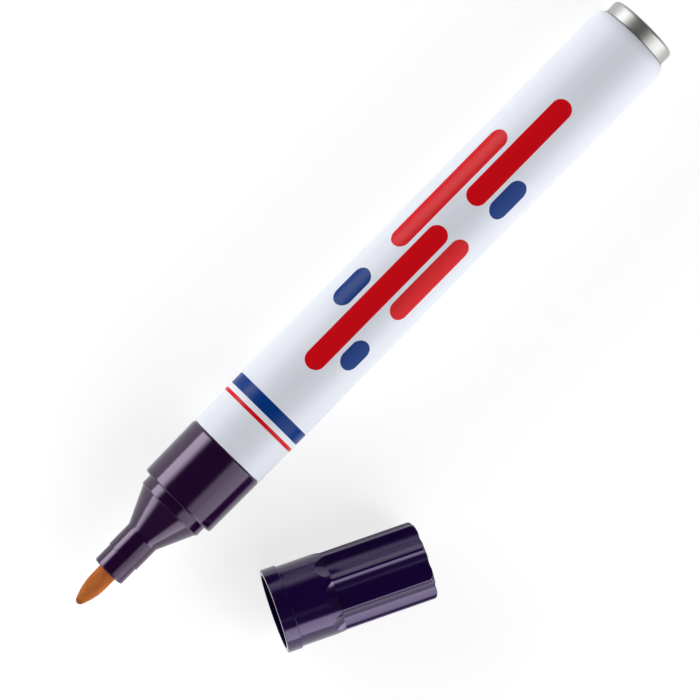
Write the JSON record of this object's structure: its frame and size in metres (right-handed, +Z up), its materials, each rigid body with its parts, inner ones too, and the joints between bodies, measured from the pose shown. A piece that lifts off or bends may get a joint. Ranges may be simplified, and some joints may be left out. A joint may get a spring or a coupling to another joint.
{
  "type": "marker pen",
  "caption": "Fibre-tip marker for invisible ink: white metal barrel, dark violet nib holder with an orange-brown bullet nib, and a fluted push-on cap lying beside it.",
  "frame": {"origin": "centre of the pen's flat rear end face", "axes": "+X along the pen to its nib, +Z up, +Y to the side where the cap lies"},
  "size_m": [0.1382, 0.051, 0.0154],
  "materials": {
    "white_lacquer": "white gloss lacquer on a drawn aluminium tube, printed with bars and bands",
    "bare_metal": "bright turned aluminium",
    "holder_plastic": "moulded dark violet, gloss",
    "nib_fibre": "bonded fibre, matt",
    "reservoir_fibre": "ink-soaked fibre rod, matt",
    "clear_film": "thin film",
    "cap_plastic": "moulded dark violet, gloss",
    "liner_plastic": "soft moulded dark violet, satin"
  },
  "bodies": {
    "pen": {"barrel_tube": "white_lacquer", "end_cup": "bare_metal", "nib_holder": "holder_plastic", "nib": "nib_fibre", "ink_reservoir": "reservoir_fibre", "reservoir_wrap": "clear_film"},
    "cap": {"cap_shell": "cap_plastic", "cap_liner": "liner_plastic"}
  },
  "joints": [
    {"name": "cap_swing", "type": "hinge", "parent": "pen", "child": "cap", "pos_m": [0.12595, 0.00945, 0], "axis": [0, 0, -1], "range_deg": [0, 153.2]}
  ]
}
